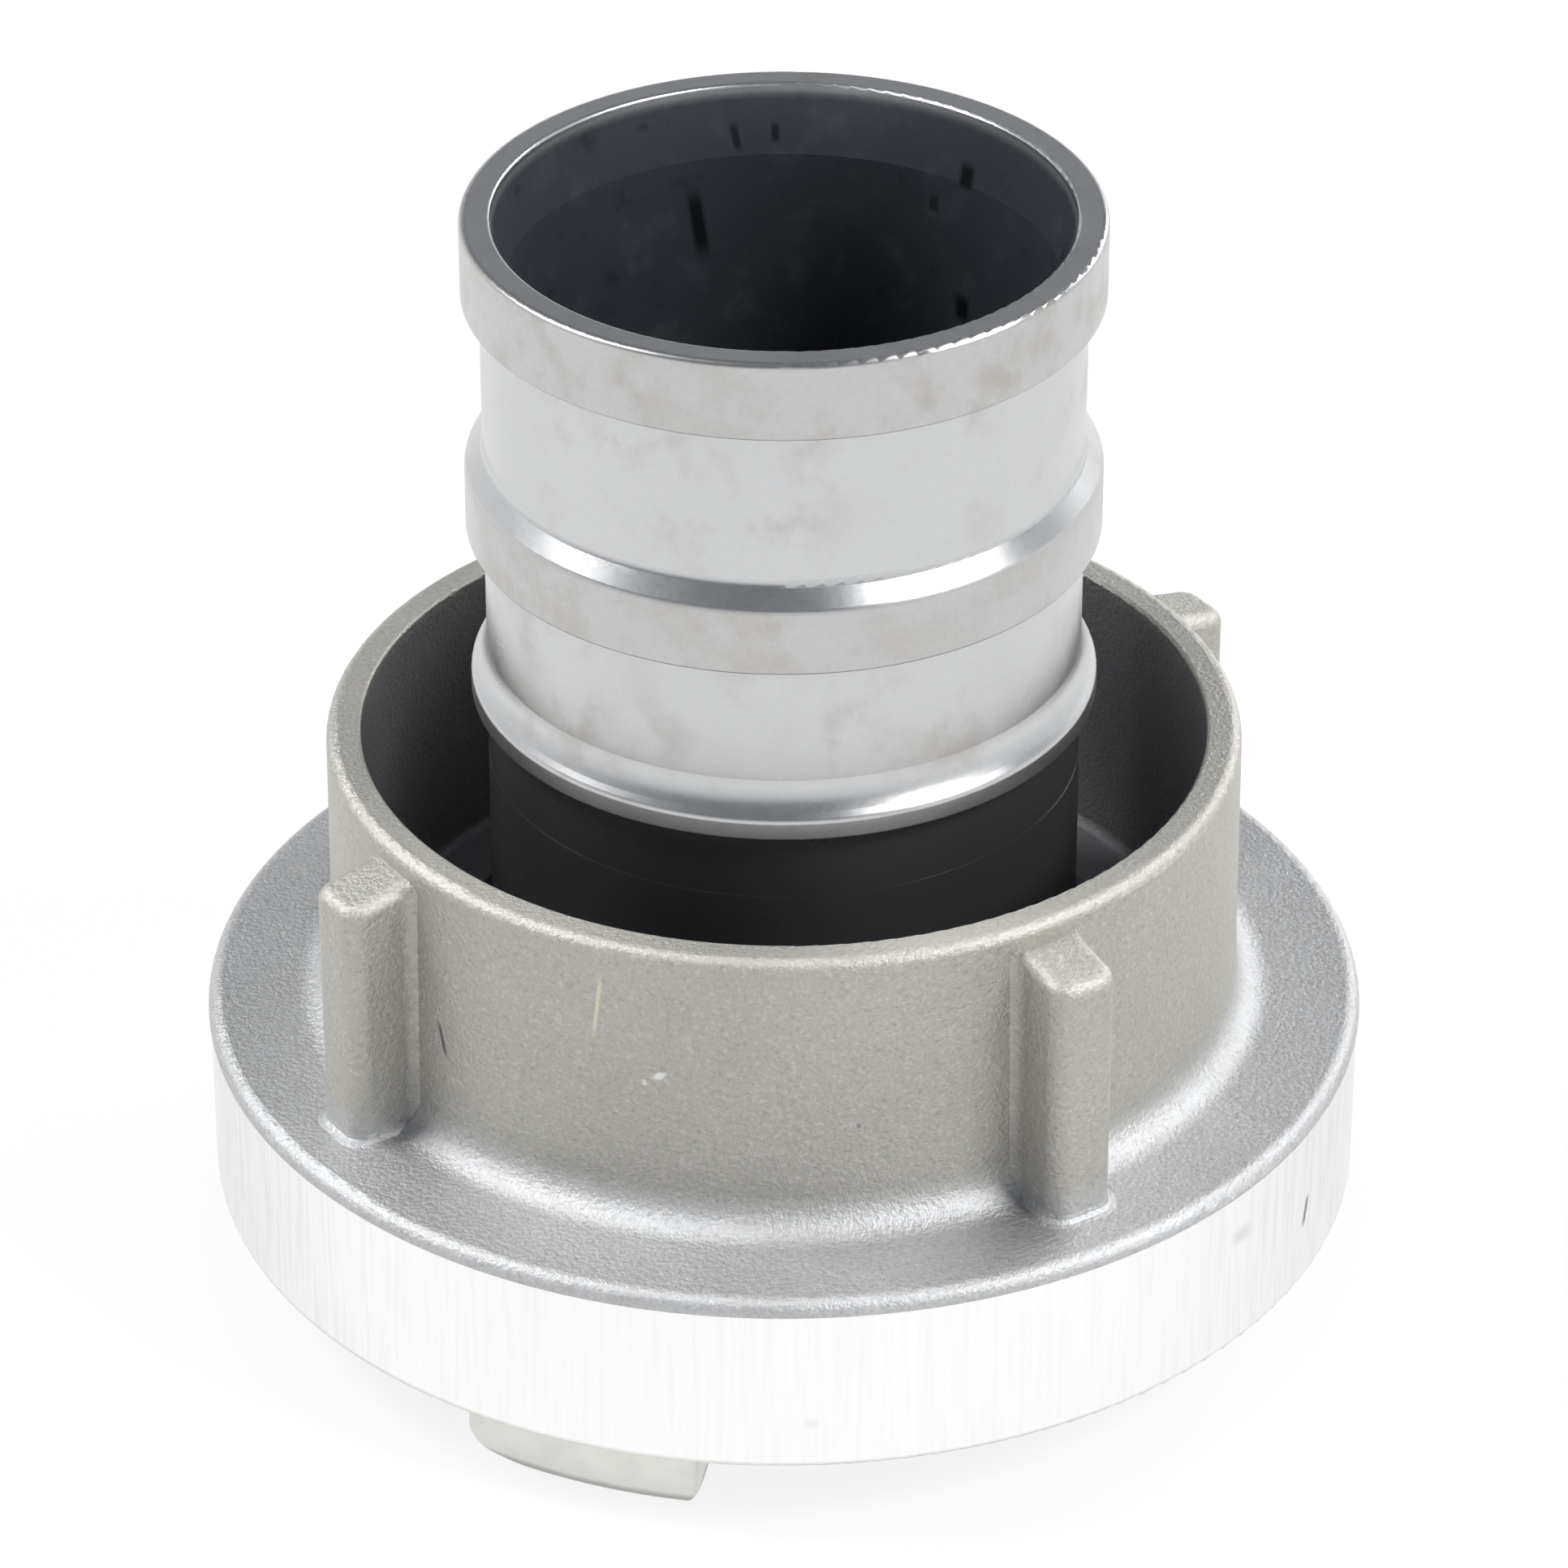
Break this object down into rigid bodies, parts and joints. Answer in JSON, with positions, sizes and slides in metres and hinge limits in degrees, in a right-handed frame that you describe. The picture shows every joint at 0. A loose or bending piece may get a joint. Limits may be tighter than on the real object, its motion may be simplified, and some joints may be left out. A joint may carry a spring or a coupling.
{
  "type": "quarter-turn hose coupling",
  "caption": "Lugged quarter-turn coupling half with a swivelling ribbed ring on a beaded hose tail, split snap ring and rubber face seal.",
  "frame": {"origin": "on the swivel axis, in the plane of the two lug tips that the part stands on", "axes": "+Z along the axis from the coupling face up to the mouth of the hose tail; +X and +Y lie in the lug-tip plane, with a lug 67.6 degrees from +X towards +Y"},
  "size_m": [0.0983, 0.0982, 0.0959],
  "materials": {
    "cast_aluminium": "satin cast with turned faces",
    "turned_aluminium": "polished",
    "spring_steel": "zinc plated spring steel",
    "seal_rubber": "matt rubber"
  },
  "bodies": {
    "ring": {"lug_ring": "cast_aluminium"},
    "tail": {"hose_tail": "turned_aluminium", "snap_ring": "spring_steel", "face_seal": "seal_rubber"}
  },
  "joints": [
    {"name": "tail_swivel", "type": "hinge", "parent": "ring", "child": "tail", "pos_m": [0, 0, 0.0234], "axis": [0, 0, 1], "continuous": true}
  ]
}
